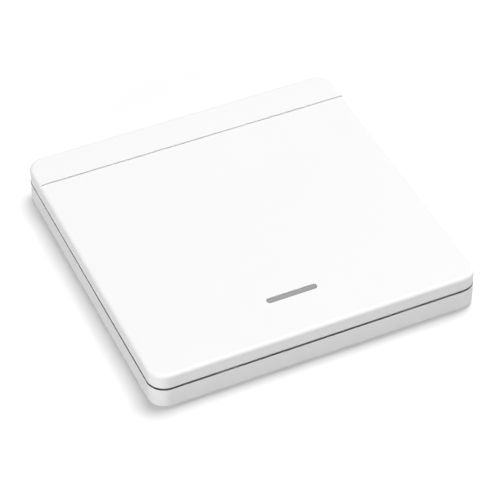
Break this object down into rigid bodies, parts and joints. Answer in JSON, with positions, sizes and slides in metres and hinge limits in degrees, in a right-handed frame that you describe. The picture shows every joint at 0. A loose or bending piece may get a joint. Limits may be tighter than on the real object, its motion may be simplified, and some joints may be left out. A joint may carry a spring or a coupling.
{
  "type": "wireless remote wall switch",
  "caption": "Square battery-powered wireless wall switch: a full-size white key that pivots at its upper edge over a flat white housing, with an engraved line and a slim indicator lens.",
  "frame": {"origin": "centre of the flat back face, which lies on the wall", "axes": "+Z out of the front through the key, -Y towards the lower end with the indicator lens, +X to the right seen from the front"},
  "size_m": [0.086, 0.086, 0.0106],
  "materials": {
    "housing_white": "fine satin moulding, white ABS",
    "key_white": "smooth satin moulding, white ABS",
    "lens_grey": "smooth, smoky translucent polycarbonate",
    "board_green": "solder mask over glass-epoxy laminate",
    "screw_zinc": "bright zinc plate",
    "switch_black": "black moulding",
    "switch_steel": "rolled sheet",
    "switch_terminal_silver": "silver plate",
    "dome_steel": "stainless spring sheet",
    "stem_white": "plain moulding",
    "cell_steel": "nickel-plated stainless steel",
    "cell_cap_steel": "nickel-plated stainless steel",
    "gasket_nylon": "plain moulding",
    "holder_black": "black glass-filled moulding",
    "contact_nickel": "nickel-plated spring sheet",
    "led_clear": "clear epoxy on a white carrier",
    "chip_black": "black epoxy",
    "crystal_steel": "seam-welded lid",
    "antenna_ceramic": "fired ceramic",
    "tantalum_yellow": "moulded epoxy",
    "capacitor_tan": "fired ceramic",
    "resistor_black": "glass-coated ceramic"
  },
  "bodies": {
    "housing": {"rear_housing": "housing_white", "circuit_board": "board_green", "board_screws": "screw_zinc", "tact_switch_base": "switch_black", "tact_switch_cover": "switch_steel", "tact_switch_terminals": "switch_terminal_silver", "tact_switch_dome": "dome_steel", "coin_cell_can": "cell_steel", "coin_cell_cap": "cell_cap_steel", "coin_cell_gasket": "gasket_nylon", "battery_holder": "holder_black", "battery_positive_contact": "contact_nickel", "battery_negative_contact": "contact_nickel", "status_led": "led_clear", "controller_chip": "chip_black", "crystal_can": "crystal_steel", "chip_antenna": "antenna_ceramic", "bulk_capacitor": "tantalum_yellow", "chip_capacitors": "capacitor_tan", "chip_resistors": "resistor_black"},
    "key": {"front_key": "key_white", "indicator_lens": "lens_grey"},
    "stem": {"tact_switch_plunger": "stem_white"}
  },
  "joints": [
    {"name": "key_pivot", "type": "hinge", "parent": "housing", "child": "key", "pos_m": [0, 0.0386, 0.0064], "axis": [1, 0, 0], "range_deg": [0, 0.273], "stiffness_Nm_per_rad": 20, "springref_deg": -0.06},
    {"name": "stem_travel", "type": "slide", "parent": "housing", "child": "stem", "axis": [0, 0, -1], "range_m": [0, 0.00025], "deforming": ["tact_switch_dome"]}
  ],
  "couplings": [
    {"joint": "stem_travel", "follows": "key_pivot", "m_per_rad": 0.0524}
  ]
}
